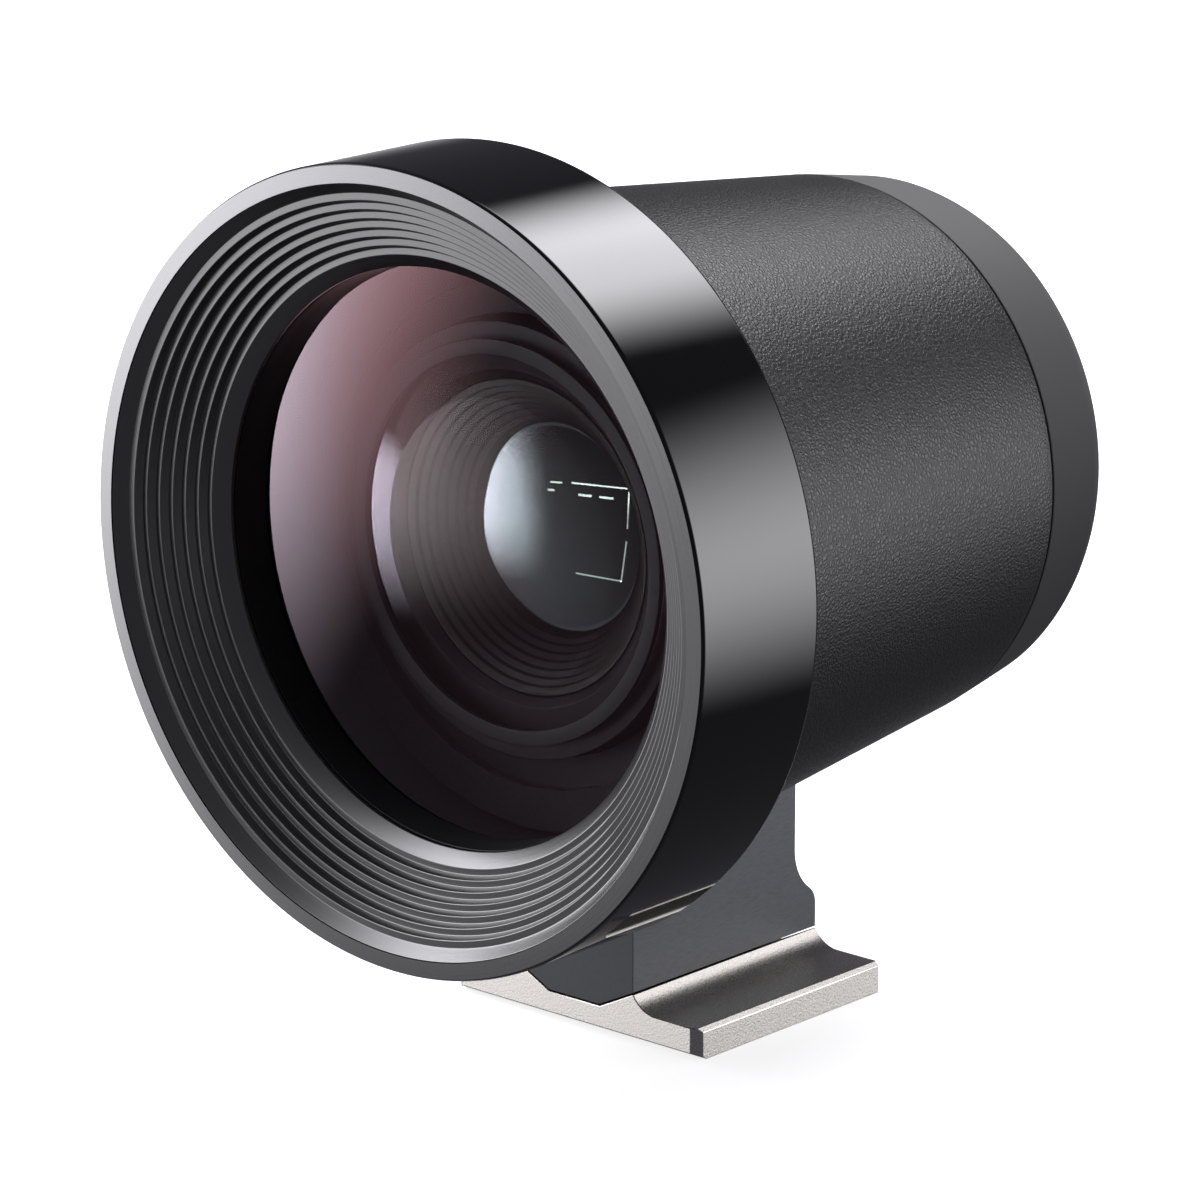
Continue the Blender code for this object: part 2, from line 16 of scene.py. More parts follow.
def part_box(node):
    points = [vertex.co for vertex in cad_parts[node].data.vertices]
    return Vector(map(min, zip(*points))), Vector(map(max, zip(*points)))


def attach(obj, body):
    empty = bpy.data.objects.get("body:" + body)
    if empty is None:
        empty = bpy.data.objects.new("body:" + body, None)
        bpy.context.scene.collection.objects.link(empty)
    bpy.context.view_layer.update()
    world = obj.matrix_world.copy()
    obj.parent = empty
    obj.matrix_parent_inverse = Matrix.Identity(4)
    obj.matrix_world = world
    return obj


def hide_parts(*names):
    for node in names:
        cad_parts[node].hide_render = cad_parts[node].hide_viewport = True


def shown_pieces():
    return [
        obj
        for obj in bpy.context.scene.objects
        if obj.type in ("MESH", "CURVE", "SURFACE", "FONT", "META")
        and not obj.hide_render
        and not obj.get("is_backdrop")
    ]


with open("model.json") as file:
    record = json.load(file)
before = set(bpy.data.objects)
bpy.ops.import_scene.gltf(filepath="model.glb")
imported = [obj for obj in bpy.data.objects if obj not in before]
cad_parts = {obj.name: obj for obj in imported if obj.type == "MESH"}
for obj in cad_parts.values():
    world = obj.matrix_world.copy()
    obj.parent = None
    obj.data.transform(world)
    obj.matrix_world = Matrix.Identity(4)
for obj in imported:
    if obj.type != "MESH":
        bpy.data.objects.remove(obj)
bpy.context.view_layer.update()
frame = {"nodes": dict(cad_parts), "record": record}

MM = 0.001
HOOD_LOW, HOOD_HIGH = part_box("hood_ring")
AXIS_Z = (HOOD_LOW.z + HOOD_HIGH.z) / 2 / MM
FRONT_Y = HOOD_LOW.y / MM
HOOD_RADIUS = (HOOD_HIGH.x - HOOD_LOW.x) / 2 / MM
FINE_STEPS = 256
SMALL_STEPS = 128

# Turned outlines, close to those of the frame's nodes
HOOD_LENGTH = 9.5
HOOD_BORE = 21.37
FACE_OUTER = 22.33
FACE_CHAMFER = 0.32
FACE_FALL = 0.08
HOOD_REAR_ROUND = 0.4
LIP_FRONT = 8.3
LIP_BORE = 19.1
GAP = 0.1
STEPS = 7
FIRST_STEP_STATION = 0.8
FIRST_STEP_INNER = 20.32
FIRST_STEP_OUTER = 20.75
STEP_DEPTH = 0.46
STEP_RISE = 0.56
RISER_SLOPE = 0.17
TREAD_FALL = 0.035
BAFFLE_THROAT = 16.2
BAFFLE_REAR = 4.6
BAFFLE_FIT = 0.03
RETAINER_REAR = 6.8
RETAINER_LIP = 7.05
RETAINER_BORE = 16.1
LENS_BORE = 17.0
SLEEVE_FRONT = 9.62
SLEEVE_FRONT_RADIUS = 19.21
SLEEVE_REAR = 37.4
SLEEVE_REAR_RADIUS = 16.27
SLEEVE_WALL = 0.5
WINDOW_HEIGHTS = (8.0, 19.0)
CAP_FRONT = 37.52
CAP_FRONT_RADIUS = 16.25
CAP_SHOULDER = 41.0
CAP_SHOULDER_RADIUS = 15.68
CAP_BLEND = 1.2
BLEND_STEPS = 12
CAP_REAR = 46.25
CAP_REAR_FLAT = 8.91
BARREL_BORE = 15.0
CAP_WALL = [(44.4, 10.4), (43.0, 12.4), (40.5, 13.9), (33.6, 13.9)]
EYE_APERTURE = 6.9
EYE_GROOVE_RADIUS = 8.75
EYE_GROOVE_FLOOR = 45.2
EYE_COLLAR_RADIUS = 7.4
EYE_COLLAR_REAR = 46.1

# Lenses and what holds them: a curve is a face's radius, an apex is the face's station on the
# axis, and a bow is the radius of the hollow inner face that a coating sits on
FRONT_APEX = 3.6
FRONT_CURVE = 38.0
FRONT_BOW = 46.0
FRONT_FACE_POINTS = 40
FRONT_COATING_DEPTH = 0.5
FRONT_REAR_APEX = 5.5
FRONT_REAR_CURVE = 20.0
FRONT_LENS_RADIUS = 16.9
FRONT_LENS_REAR_RIM = 13.6
CELL_BORE = 9.0
CELL_RADIUS = 10.4
CELL_FRONT = [(9.95, 11.1), (9.95, 12.3), (13.7, 12.3)]
CELL_FLANGE_REAR = 15.2
CELL_REAR = 33.0
CELL_CHAMFER = [(11.0, CELL_BORE), (10.5, 9.5), (10.5, 11.1)]
SECOND_APEX = 7.51
SECOND_CURVE = 26.0
SECOND_REAR = 10.4
SECOND_LENS_RADIUS = 11.0
SECOND_LENS_OPENING = 8.4
SECOND_RETAINER = [(9.3, 10.55), (9.3, 11.4), (9.62, 11.4), (9.62, 10.55)]
STOP_FRONT = 11.0
RIDGES = 7
RIDGE_PITCH = 0.4
RIDGE_STEP = 0.385
RIDGE_CREST = 0.16
RIDGE_WIDTH = 0.32
# Radii of the ridged stop's painted shade: deepest at the first, gone at the second
STOP_SHADE_DEEPEST = 6.4
STOP_SHADE_ENDS = 8.9
STOP_THROAT = [(13.9, 6.05), (14.1, 5.9), (14.1, 7.1), (14.9, 7.1)]
THIRD_APEX = 10.7
THIRD_CURVE = 6.4
THIRD_BOW = 29.2
THIRD_FACE_POINTS = 80
THIRD_DOME_RADIUS = 5.7
THIRD_SHOULDER = [(14.25, 7.0), (14.8, 7.0), (14.8, 0.0)]
THIRD_RETAINER_ENDS = (15.0, 15.9)
THIRD_RETAINER_BORE = 5.6
RETICLE_ENDS = (16.0, 17.0)
SPACER_ENDS = (17.1, 28.9)
SPACER_BORE = 8.0
MIRROR_APEX = 30.0
MIRROR_CURVE = -45.0
MIRROR_REAR = 31.5
EYEPIECE_APEX = 40.6
EYEPIECE_CURVE = 28.0
EYEPIECE_RADIUS = 8.4
EYEPIECE_REAR_EDGE = 44.2
EYEPIECE_REAR_APEX = 44.9
EYEPIECE_REAR_CURVE = -32.4
EYEPIECE_REAR_RADIUS = 6.7
EYEPIECE_RETAINER = [(39.6, 7.3), (39.6, 8.4), (41.4, 8.4), (41.4, 7.3)]
EYE_RING_FRONT = [(45.3, 7.5), (45.3, 8.65)]
EYE_RING_REAR = 46.2
EYE_RING_RADII = (7.8, 8.35)
EYE_RING_ROUND = 0.3

# Bright frame: bars from one (x, height above the axis) to another
FRAME_CORNER = (3.3, 2.4)
FRAME_FOOT = (2.72, -2.99)
FRAME_RUNS = [
    ((-0.94, 2.02), FRAME_CORNER), ((-2.55, 1.80), (-1.75, 1.90)),
    (FRAME_CORNER, (3.16, 0.14)), ((3.09, -0.68), FRAME_FOOT), (FRAME_FOOT, (-0.64, -3.14)),
]
FRAME_MARKS = [((-2.72, 1.32), (-2.35, 1.36)), ((-0.42, 1.42), (0.45, 1.50)),
               ((1.15, 1.56), (2.05, 1.64))]
FRAME_STATION = 15.93
FRAME_DEPTH = 0.03
RUN_WIDTH = 0.085
MARK_WIDTH = 0.12
# Painted glow: the frame lines emit light of their own, at LINE_GLOW's first strength up to
# DIM_BELOW mm above the axis and rising to its second above BRIGHT_ABOVE mm
DIM_BELOW = 0.9
BRIGHT_ABOVE = 1.6
LINE_GLOW = (3.2, 9.0)

# Foot and pedestal
FOOT_WIDTH = 18.5
FOOT_THICKNESS = 1.9
FOOT_LENGTH = 16.0
FOOT_EDGE_BEVEL = 0.25
FOOT_CORNER_CHAMFER = 0.5
FOOT_RAMP_HEIGHT = 0.4
FOOT_RAMP_LENGTH = 0.85
FILLET_RADIUS = 2.0
FILLET_ANGLE = 60.0
FILLET_FOOT_X = 6.2
GROOVE_HALF_FLAT = 1.95
GROOVE_FLOOR = 1.64
PEDESTAL_REAR = 6.1
COVE_TOP = 8.1
COVE_RADIUS = 3.25
COVE_ANGLE = 54.0
NOSE_RADIUS = 1.32
CLEAR_TOP = 25.0
CLEAR_BOTTOM = -1.0
CLEAR_BEHIND = 5.0
CLEAR_WIDTH = 30.0
PEDESTAL_TOP = 14.5
SADDLE_ENDS = (10.0, 34.0)
FOOT_SCREW_X = 2.2
FOOT_SCREW_Y = 4.6
COUNTERSINK = [(-0.5, 1.6), (0.12, 1.6), (1.02, 0.85), (6.0, 0.85)]
COUNTERSINK_STEPS = 48

# Stage: the lights face the centre; the ambient light is what the pieces get from the world,
# the backdrop what the camera sees of it; the camera's angles are degrees to the right of the
# optical axis and above it, its place is millimetres from the centre of the front rim
CENTRE = Vector((0.0, 0.0, 26.0)) * MM
LIGHT_COLOUR = (0.965, 0.96, 1.0)
AMBIENT = (0.077, 0.075, 0.088, 1.0)
BACKDROP = (0.95, 0.95, 0.95, 1.0)
FLOOR_SIZE = 4.0
CAMERA_AZIMUTH = 41.845
CAMERA_ELEVATION = 15.51
CAMERA_LENS = 180.13
CAMERA_FROM_RIM = Vector((216.24, -224.26, 85.12))

# Softboxes: direction, distance, width and height in metres, radiance, softness of the left,
# right, bottom and top sides, roll in degrees
EVEN = (0.4,) * 4
REAR_RIGHT = (0.67, 0.74, 0.03)
REAR_RIGHT_SOFT = (0.4, 0.4, 0.5, 0.5)
SOFTBOXES = {
    "rear_top_box": ((-0.02, 0.68, 0.74), 0.55, 0.47, 0.40, 8.2, EVEN, 0.0),
    "right_rear_strip": (REAR_RIGHT, 0.55, 0.46, 0.66, 5.2, REAR_RIGHT_SOFT, 0.0),
    "dim_rear_strip": (REAR_RIGHT, 0.55, 0.46, 0.66, 3.5, REAR_RIGHT_SOFT, 0.0),
    "backdrop_glow": ((-0.643, 0.718, -0.267), 0.55, 0.52, 0.52, 0.7, (0.5,) * 4, 0.0),
    "left_panel": ((-0.87, -0.42, 0.24), 0.28, 0.50, 0.54, 4.0, (0.3, 0.5, 0.5, 0.3), 0.0),
    "front_fill": ((-0.45, -0.85, -0.28), 0.50, 0.70, 0.60, 0.16, EVEN, 0.0),
    "lens_panel": ((-0.112, -0.815, -0.569), 0.40, 0.547, 0.70, 5.3, (0.5, 0.44, 0.1, 0.5),
                   -36.2),
    "inner_panel": ((-0.312, -0.911, -0.269), 0.40, 0.181, 0.574, 12.0,
                    (0.5, 0.37, 0.5, 0.25), -78.4),
    "foot_card": ((-0.643, -0.718, -0.267), 0.30, 0.26, 0.20, 0.95, (0.3,) * 4, 0.0),
    "fillet_card": ((0.45, 0.72, 0.53), 0.30, 0.16, 0.16, 2.2, EVEN, 0.0),
    "cap_box": ((-0.20, 0.35, 0.91), 0.55, 0.47, 0.40, 12.0, EVEN, 0.0),
    "far_left_box": ((-0.95, 0.12, 0.28), 0.60, 0.50, 0.60, 2.5, EVEN, 0.0),
}


# ------------------------------------------------------------------ node helpers

class Nodes:
    """A node tree, with short calls that add and join nodes."""

    def __init__(self, tree):
        self.tree = tree

    def set(self, socket, value):
        if isinstance(value, bpy.types.NodeSocket):
            self.tree.links.new(value, socket)
        elif value is not None:
            socket.default_value = value

    def node(self, kind, inputs=None, **settings):
        made = self.tree.nodes.new("ShaderNode" + kind)
        for key, value in settings.items():
            setattr(made, key, value)
        for key, value in (inputs or {}).items():
            self.set(made.inputs[key], value)
        return made

    def math(self, operation, a, b=None, c=None, clamp=False):
        made = self.node("Math", operation=operation, use_clamp=clamp)
        for socket, value in zip(made.inputs, (a, b, c)):
            self.set(socket, value)
        return made.outputs[0]

    def ramp(self, value, low, high, to_low=0.0, to_high=1.0, smooth=False):
        kind = "SMOOTHSTEP" if smooth else "LINEAR"
        made = self.node("MapRange", {0: value, 1: low, 2: high, 3: to_low, 4: to_high},
                         interpolation_type=kind)
        return made.outputs[0]

    def mix_colour(self, factor, a, b):
        made = self.node("Mix", data_type="RGBA")
        self.set(made.inputs[0], factor)
        for socket, value in ((made.inputs[6], a), (made.inputs[7], b)):
            self.set(socket, value if isinstance(value, bpy.types.NodeSocket) else (*value, 1.0))
        return made.outputs[2]

    def place(self):
        """Object coordinates in metres."""
        return self.node("TexCoord").outputs["Object"]

    def stretched(self, scale):
        return self.node("Mapping", {"Vector": self.place(), "Scale": scale}).outputs[0]

    def noise(self, vector, scale, detail=2.0, rough=0.5):
        made = self.node("TexNoise", {"Vector": vector, "Scale": scale, "Detail": detail,
                                      "Roughness": rough})
        return made.outputs[0]

    def axial(self):
        """(distance from the optical axis in metres, angle about it in radians)."""
        parts = self.node("SeparateXYZ", {0: self.place()}).outputs
        up = self.math("SUBTRACT", parts[2], AXIS_Z * MM)
        squares = self.math("ADD", self.math("MULTIPLY", parts[0], parts[0]),
                            self.math("MULTIPLY", up, up))
        return self.math("SQRT", squares), self.math("ARCTAN2", up, parts[0])

    def lathe_lines(self, pitch, drift=0.6):
        """Fine turning marks: noise that hardly changes round the axis."""
        radius, angle = self.axial()
        first = self.math("DIVIDE", radius, pitch * MM)
        around = self.math("MULTIPLY", angle, drift)
        vector = self.node("CombineXYZ", {0: first, 1: around}).outputs[0]
        return self.noise(vector, 1.0, 3.0, 0.65)

    def bump(self, height, depth, strength):
        """A normal from a height of 0 to 1 that stands for depth millimetres."""
        made = self.node("Bump", {"Height": height, "Distance": depth * MM,
                                  "Strength": strength})
        return made.outputs[0]


class Material(Nodes):
    """A new material, empty but for its output."""

    def __init__(self, name):
        self.material = bpy.data.materials.new(name)
        self.material.use_nodes = True
        super().__init__(self.material.node_tree)
        self.tree.nodes.clear()
        self.output = self.tree.nodes.new("ShaderNodeOutputMaterial")

    def finished(self, shader):
        self.tree.links.new(shader.outputs[0], self.output.inputs[0])
        return self.material

    def principled(self, inputs):
        return self.finished(self.node("BsdfPrincipled", inputs))


def rgb(red, green, blue):
    return red, green, blue, 1.0


# -------------------------------------------------------------------- materials

def satin_metal(name, tone, roughness, aniso):
    m = Material(name)
    lines = m.lathe_lines(0.035)
    colour = m.mix_colour(m.ramp(lines, 0.3, 0.7), (tone * 0.86,) * 3, (tone, tone, tone * 1.01))
    return m.principled({
        "Base Color": colour, "Metallic": 1.0, "Anisotropic": aniso,
        "Roughness": m.ramp(lines, 0.3, 0.7, roughness - 0.05, roughness + 0.06),
        "Tangent": m.node("Tangent", direction_type="RADIAL", axis="Y").outputs[0],
        "Normal": m.bump(lines, 0.004, 0.5),
    })


def gloss_black():
    m = Material("gloss_black_enamel")
    film = m.noise(m.place(), 900.0, 2.0)
    return m.principled({
        "Base Color": rgb(0.004, 0.004, 0.005),
        "Roughness": m.ramp(film, 0.3, 0.7, 0.03, 0.06),
        "IOR": 1.55, "Specular IOR Level": 0.5,
        "Normal": m.bump(film, 0.0006, 0.3),
    })


def leather():
    m = Material("black_leatherette")
    warp = m.node("TexNoise", {"Vector": m.place(), "Scale": 2700.0, "Detail": 1.0})
    spot = m.node("VectorMath", {0: warp.outputs["Color"], 1: (0.5, 0.5, 0.5)},
                  operation="SUBTRACT").outputs[0]
    shift = m.node("VectorMath", {0: spot, 3: 0.00015}, operation="SCALE").outputs[0]
    where = m.node("VectorMath", {0: m.place(), 1: shift}, operation="ADD").outputs[0]
    cells = m.node("TexVoronoi", {"Vector": where, "Scale": 3700.0},
                   feature="DISTANCE_TO_EDGE").outputs["Distance"]
    pebble = m.ramp(cells, 0.0, 0.32, smooth=True)
    fine = m.noise(m.place(), 9000.0, 3.0, 0.6)
    broad = m.noise(m.place(), 900.0, 2.0)
    height = m.math("ADD", m.math("MULTIPLY", pebble, 0.75), m.math("MULTIPLY", fine, 0.3))
    height = m.math("ADD", height, m.math("MULTIPLY", broad, 0.35))
    # Painted shade: the creases between the pebbles are coloured darker than the pebbles' tops
    colour = m.mix_colour(pebble, (0.007, 0.007, 0.008), (0.015, 0.015, 0.018))
    return m.principled({
        "Base Color": colour,
        "Roughness": m.ramp(pebble, 0.0, 1.0, 0.46, 0.32),
        "Specular IOR Level": 0.5,
        "Normal": m.bump(height, 0.03, 0.6),
    })


def cap_paint():
    m = Material("charcoal_matte_paint")
    fine = m.noise(m.place(), 8000.0, 2.0, 0.6)
    return m.principled({
        "Base Color": m.mix_colour(fine, (0.078, 0.079, 0.077), (0.105, 0.106, 0.103)),
        "Roughness": m.ramp(fine, 0.3, 0.7, 0.55, 0.65),
        "Specular IOR Level": 0.25,
        "Normal": m.bump(fine, 0.004, 0.4),
    })


def brushed_dark():
    m = Material("dark_brushed_anodise")
    lines = m.noise(m.stretched((26000.0, 1400.0, 26000.0)), 1.0, 3.0, 0.6)
    return m.principled({
        "Base Color": m.mix_colour(m.ramp(lines, 0.3, 0.7), (0.055, 0.057, 0.062),
                                   (0.105, 0.108, 0.115)),
        "Metallic": 0.75,
        "Roughness": m.ramp(lines, 0.3, 0.7, 0.34, 0.48),
        "Normal": m.bump(lines, 0.006, 0.6),
    })


def grained_nickel():
    m = Material("pearl_blasted_nickel")
    grain = m.noise(m.place(), 9000.0, 3.0, 0.7)
    spark = m.node("TexVoronoi", {"Vector": m.place(), "Scale": 9500.0}).outputs["Distance"]
    height = m.math("ADD", grain, m.math("MULTIPLY", spark, 0.5))
    return m.principled({
        "Base Color": m.mix_colour(m.ramp(grain, 0.35, 0.65), (0.63, 0.60, 0.55),
                                   (0.90, 0.87, 0.81)),
        "Metallic": 1.0,
        "Roughness": m.ramp(grain, 0.3, 0.7, 0.22, 0.4),
        "Normal": m.bump(height, 0.014, 0.6),
    })


def matte_black():
    m = Material("matte_black_anodise")
    lines = m.lathe_lines(0.06)
    return m.principled({
        "Base Color": m.mix_colour(lines, (0.008, 0.008, 0.009), (0.017, 0.017, 0.018)),
        "Roughness": m.ramp(lines, 0.3, 0.7, 0.42, 0.58),
        "Normal": m.bump(lines, 0.005, 0.5),
    })


def stop_black():
    """Black anodise with painted shade: darker, and mirroring less, towards the innermost ridge.
    """
    m = Material("stop_black_anodise_painted_shade")
    lines = m.lathe_lines(0.06)
    # Painted shade: darker colour and weaker mirroring towards the inner ridges, which lie deepest
    # in the stop
    outward = m.ramp(m.axial()[0], STOP_SHADE_DEEPEST * MM, STOP_SHADE_ENDS * MM, smooth=True)
    colour = m.mix_colour(outward, (0.004, 0.004, 0.004), (0.015, 0.018, 0.011))
    return m.principled({
        "Base Color": colour,
        "Roughness": m.ramp(lines, 0.3, 0.7, 0.42, 0.58),
        "Specular IOR Level": m.ramp(outward, 0.0, 1.0, 0.15, 0.4),
        "Normal": m.bump(lines, 0.005, 0.5),
    })


def rubber():
    m = Material("soft_black_rubber")
    fine = m.noise(m.place(), 6000.0, 2.0)
    return m.principled({
        "Base Color": m.mix_colour(fine, (0.010,) * 3, (0.022,) * 3),
        "Roughness": m.ramp(fine, 0.3, 0.7, 0.65, 0.85),
        "Normal": m.bump(fine, 0.01, 0.5),
    })


def steel():
    m = Material("machined_steel")
    fine = m.noise(m.place(), 7000.0, 2.0)
    return m.principled({
        "Base Color": m.mix_colour(fine, (0.42,) * 3, (0.56,) * 3),
        "Metallic": 1.0,
        "Roughness": m.ramp(fine, 0.3, 0.7, 0.25, 0.38),
        "Normal": m.bump(fine, 0.004, 0.4),
    })


def coated_glass(name, through, centre, edge, mirror, grazing, bow=0.0, fade=None, veil=0.0):
    """Glass that shows what is behind it and mirrors a share of the light in a coating's colour.

    With a bow, the coating sits on an inner face that is hollow towards the front, and bow is
    that face's radius in millimetres.  A fade is (x, height above the axis, near, far) of a
    painted reflection spot: the mirroring dies away between those two distances from that
    point, so the glass mirrors the lamps only round it.  A veil is the share of the light that
    the glass scatters.
    """
    m = Material(name)
    facing = m.node("LayerWeight", {"Blend": 0.5}).outputs["Facing"]
    rise = m.math("POWER", facing, 4.0)
    bloom = m.noise(m.place(), 260.0, 2.0)
    share = m.math("MULTIPLY_ADD", rise, grazing, mirror, clamp=True)
    if fade:
        x, height, near, far = fade
        flat = m.node("VectorMath", {0: m.place(), 1: (1.0, 0.0, 1.0)}, operation="MULTIPLY")
        point = (x * MM, 0.0, (AXIS_Z + height) * MM)
        off = m.node("VectorMath", {0: flat.outputs[0], 1: point}, operation="DISTANCE")
        # Painted reflection spot: the mirroring is kept only near one point
        painted_spot = m.ramp(off.outputs["Value"], near * MM, far * MM, 1.0, 0.0, smooth=True)
        share = m.math("MULTIPLY", share, painted_spot)
    tint = m.mix_colour(m.ramp(facing, 0.33, 0.6, smooth=True), centre, edge)
    normal = None
    if bow:
        parts = m.node("SeparateXYZ", {0: m.place()}).outputs
        up = m.math("SUBTRACT", AXIS_Z * MM, parts[2])
        across = m.math("MULTIPLY", parts[0], -1.0)
        hollow = m.node("CombineXYZ", {0: across, 1: -bow * MM, 2: up}).outputs[0]
        normal = m.node("VectorMath", {0: hollow}, operation="NORMALIZE").outputs[0]
    clear = m.node("BsdfTransparent", {"Color": rgb(*through)})
    shine = m.node("BsdfGlossy", {
        "Color": tint, "Roughness": m.ramp(bloom, 0.3, 0.7, 0.0, 0.012), "Normal": normal})
    behind = clear
    if veil:
        haze = m.node("BsdfDiffuse", {"Color": tint})
        behind = m.node("MixShader", {0: veil, 1: clear.outputs[0], 2: haze.outputs[0]})
    return m.finished(m.node("MixShader", {0: share, 1: behind.outputs[0], 2: shine.outputs[0]}))


def glowing_line():
    # Painted glow: the bright frame lines emit light, more above the axis than below
    m = Material("bright_frame_painted_glow")
    fade = m.noise(m.place(), 1500.0, 1.0)
    tint = m.mix_colour(fade, (0.95, 0.87, 0.89), (1.0, 0.93, 0.95))
    height = m.node("SeparateXYZ", {0: m.place()}).outputs[2]
    strength = m.ramp(height, (AXIS_Z + DIM_BELOW) * MM, (AXIS_Z + BRIGHT_ABOVE) * MM, *LINE_GLOW)
    return m.principled({
        "Base Color": tint, "Emission Color": tint, "Emission Strength": strength,
        "Roughness": 0.6})


# ------------------------------------------------------------------- mesh helpers

def world_y(station):
    return FRONT_Y + station


def eased(outline, radius, closed=True, count=4, least=18.0):
    """The outline with every corner sharper than least degrees rounded by a small curve."""
    points = [Vector(p) for p in outline]
    made = []
    total = len(points)
    for index, corner in enumerate(points):
        if not closed and index in (0, total - 1):
            made.append(corner)
            continue
        back = points[index - 1] - corner
        ahead = points[(index + 1) % total] - corner
        if pi - back.angle(ahead) < radians(least):
            made.append(corner)
            continue
        reach = min(radius, 0.42 * back.length, 0.42 * ahead.length)
        first = corner + back.normalized() * reach
        last = corner + ahead.normalized() * reach
        for step in range(count + 1):
            u = step / count
            made.append(first * (1 - u) ** 2 + corner * 2 * u * (1 - u) + last * u * u)
    return [(p.x, p.y) for p in made]


def arc(centre_station, centre_radius, radius, start, end, count):
    """Points (station, radius) round an arc; 0 degrees points rearward, 90 outward."""
    angles = [radians(start + (end - start) * i / count) for i in range(count + 1)]
    return [(centre_station + radius * cos(a), centre_radius + radius * sin(a)) for a in angles]


def lens_face(apex, curve, rim, count=28):
    """A spherical face from the axis to its rim; a positive curve falls back rearward."""
    heights = [rim * i / count for i in range(count + 1)]
    sign = 1 if curve > 0 else -1
    return [(apex + curve - sign * sqrt(curve * curve - h * h), h) for h in heights]


def new_piece(name, mesh, materials, replaced=()):
    """An object that rides on the only body and stands for the replaced CAD nodes."""
    piece = bpy.data.objects.new(name, mesh)
    bpy.context.scene.collection.objects.link(piece)
    for material in materials:
        mesh.materials.append(material)
    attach(piece, "root")
    if replaced:
        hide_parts(*replaced)
    return piece


def smooth(piece, angle=32.0, weighted=True):
    mesh = piece.data
    mesh.shade_smooth()
    mesh.set_sharp_from_angle(angle=radians(angle))
    if weighted:
        even = piece.modifiers.new("even_normals", "WEIGHTED_NORMAL")
        even.keep_sharp = True
    return piece


def turned_mesh(name, outline, steps):
    """A body of revolution about the optical axis from a (station, radius) outline in mm.

    An outline that starts and ends at radius 0 makes a solid body, any other makes a ring.
    """
    following = outline[1:] + outline[:1]
    area = sum(a[0] * b[1] - b[0] * a[1] for a, b in zip(outline, following))
    if area > 0:
        outline = outline[::-1]
    corners, rows = [], []
    for station, radius in outline:
        count = 1 if radius < 1e-9 else steps
        rows.append((len(corners), count))
        for k in range(count):
            angle = 2 * pi * k / steps
            corners.append((radius * cos(angle) * MM, world_y(station) * MM,
                            (AXIS_Z + radius * sin(angle)) * MM))
    links = list(zip(rows, rows[1:]))
    if outline[0][1] > 1e-9:
        links.append((rows[-1], rows[0]))
    faces = []
    for (a, count_a), (b, count_b) in links:
        for k in range(steps):
            n = (k + 1) % steps
            if count_a == 1:
                faces.append((a, b + n, b + k))
            elif count_b == 1:
                faces.append((a + k, a + n, b))
            else:
                faces.append((a + k, a + n, b + n, b + k))
    mesh = bpy.data.meshes.new(name)
    mesh.from_pydata(corners, [], faces)
    mesh.validate()
    return mesh


def turned(name, outline, materials, replaced, steps=FINE_STEPS, ease=0.06, weighted=True):
    if ease:
        outline = eased(outline, ease, closed=outline[0][1] > 1e-9)
    mesh = turned_mesh(name, outline, steps)
    return smooth(new_piece(name, mesh, materials, replaced), weighted=weighted)


def paint_faces(piece, index, chosen):
    """Gives material slot index to the faces whose (station, radius) centre is chosen."""
    for face in piece.data.polygons:
        at = face.center
        radius = hypot(at.x / MM, at.z / MM - AXIS_Z)
        if chosen(at.y / MM - FRONT_Y, radius):
            face.material_index = index


def prism_mesh(name, outline, depth, along_x=False):
    """An outline (across, height) extruded both ways by half of depth, along Y or along X."""
    shape = bmesh.new()
    half = depth / 2
    if along_x:
        corners = [Vector((-half, a, h)) for a, h in outline]
        step = Vector((depth, 0, 0))
    else:
        corners = [Vector((a, -half, h)) for a, h in outline]
        step = Vector((0, depth, 0))
    face = shape.faces.new([shape.verts.new(c * MM) for c in corners])
    grown = bmesh.ops.extrude_face_region(shape, geom=[face])
    moved = [v for v in grown["geom"] if isinstance(v, bmesh.types.BMVert)]
    bmesh.ops.translate(shape, vec=step * MM, verts=moved)
    bmesh.ops.recalc_face_normals(shape, faces=shape.faces)
    mesh = bpy.data.meshes.new(name)
    shape.to_mesh(mesh)
    shape.free()
    return mesh


def cut_mesh(mesh, cutters):
    """The mesh with each cutter mesh taken out of it."""
    body = bpy.data.objects.new("cut_body", mesh)
    bpy.context.scene.collection.objects.link(body)
    tools = []
    for index, cutter in enumerate(cutters):
        tool = bpy.data.objects.new("cut_tool_%d" % index, cutter)
        bpy.context.scene.collection.objects.link(tool)
        step = body.modifiers.new("cut_%d" % index, "BOOLEAN")
        step.operation = "DIFFERENCE"
        step.solver = "EXACT"
        step.object = tool
        tools.append(tool)
    bpy.context.view_layer.update()
    graph = bpy.context.evaluated_depsgraph_get()
    made = bpy.data.meshes.new_from_object(body.evaluated_get(graph))
    made.name = mesh.name
    for item in [body, *tools]:
        bpy.data.objects.remove(item, do_unlink=True)
    return made


def soften_edges(piece, width, segments=3, angle=28.0):
    round_off = piece.modifiers.new("soft_edges", "BEVEL")
    round_off.width = width * MM
    round_off.segments = segments
    round_off.limit_method = "ANGLE"
    round_off.angle_limit = radians(angle)
    round_off.harden_normals = False


# ------------------------------------------------------------------ hood and baffle

